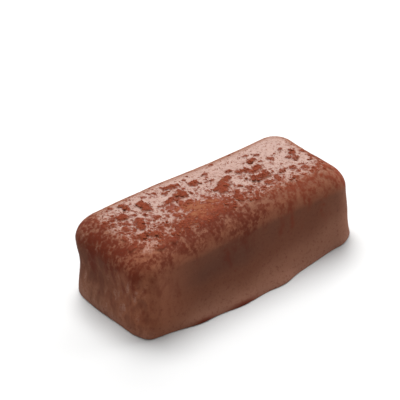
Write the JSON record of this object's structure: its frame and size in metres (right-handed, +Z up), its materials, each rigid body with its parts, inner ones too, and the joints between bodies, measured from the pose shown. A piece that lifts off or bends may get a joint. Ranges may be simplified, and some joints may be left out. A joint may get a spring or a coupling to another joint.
{
  "type": "tiramisu praline",
  "caption": "Bar-shaped milk chocolate praline with soft shoulders, a flared foot and clumped cocoa powder on its top.",
  "frame": {"origin": "middle of the flat underside, under the centre of the bounding box", "axes": "+X along the length, +Y across the width towards the back, +Z up towards the cocoa-dusted top"},
  "size_m": [0.0414, 0.0204, 0.0128],
  "materials": {
    "praline": "satin"
  },
  "bodies": {
    "root": {"praline": "praline"}
  },
  "joints": []
}
